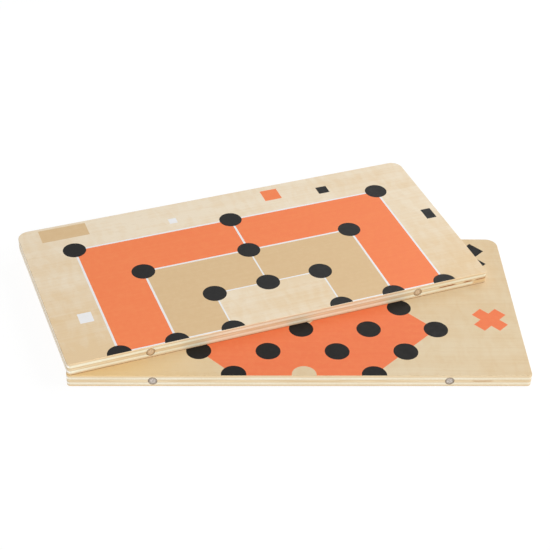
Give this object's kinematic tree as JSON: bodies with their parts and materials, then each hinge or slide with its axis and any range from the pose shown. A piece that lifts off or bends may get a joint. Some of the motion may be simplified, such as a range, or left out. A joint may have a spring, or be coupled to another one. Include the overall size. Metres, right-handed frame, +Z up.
{
  "type": "nine mens morris board set",
  "caption": "Square wooden travel game board in matching plywood halves, printed with nine mens morris and solitaire, with magnets in the joint edges, stacked and fanned.",
  "frame": {"origin": "middle of the lower half's underside, on the surface it lies on", "axes": "+X along the lower half's joint edge, +Y from its joint edge towards its back edge, +Z up"},
  "size_m": [0.3449, 0.2362, 0.018],
  "materials": {
    "birch_veneer": "sanded pale veneer under a thin matt lacquer, fine grain along the joint edge",
    "crossband_wood": "cream softwood ply, seen at the edges only",
    "core_wood": "tan ply with open pores, seen at the edges only",
    "magnet_nickel": "nickel-plated, slightly dulled",
    "orange_ink": "matt screen-printed ink, the grain just showing through",
    "tan_ink": "matt screen-printed ink, the grain just showing through",
    "white_ink": "matt screen-printed ink",
    "black_ink": "matt screen-printed ink, almost black"
  },
  "bodies": {
    "lower_half": {"lower_bottom_black_ink": "black_ink", "lower_bottom_crossband": "crossband_wood", "lower_bottom_orange_ink": "orange_ink", "lower_bottom_tan_ink": "tan_ink", "lower_bottom_veneer": "birch_veneer", "lower_bottom_white_ink": "white_ink", "lower_core": "core_wood", "lower_left_magnet": "magnet_nickel", "lower_right_magnet": "magnet_nickel", "lower_top_black_ink": "black_ink", "lower_top_crossband": "crossband_wood", "lower_top_orange_ink": "orange_ink", "lower_top_veneer": "birch_veneer"},
    "upper_half": {"upper_bottom_black_ink": "black_ink", "upper_bottom_crossband": "crossband_wood", "upper_bottom_orange_ink": "orange_ink", "upper_bottom_veneer": "birch_veneer", "upper_core": "core_wood", "upper_left_magnet": "magnet_nickel", "upper_right_magnet": "magnet_nickel", "upper_top_black_ink": "black_ink", "upper_top_crossband": "crossband_wood", "upper_top_orange_ink": "orange_ink", "upper_top_tan_ink": "tan_ink", "upper_top_veneer": "birch_veneer", "upper_top_white_ink": "white_ink"}
  },
  "joints": [
    {"name": "lift_off", "type": "slide", "parent": "lower_half", "child": "upper_half", "axis": [0, 0, 1], "range_m": [0, 0.06]}
  ]
}
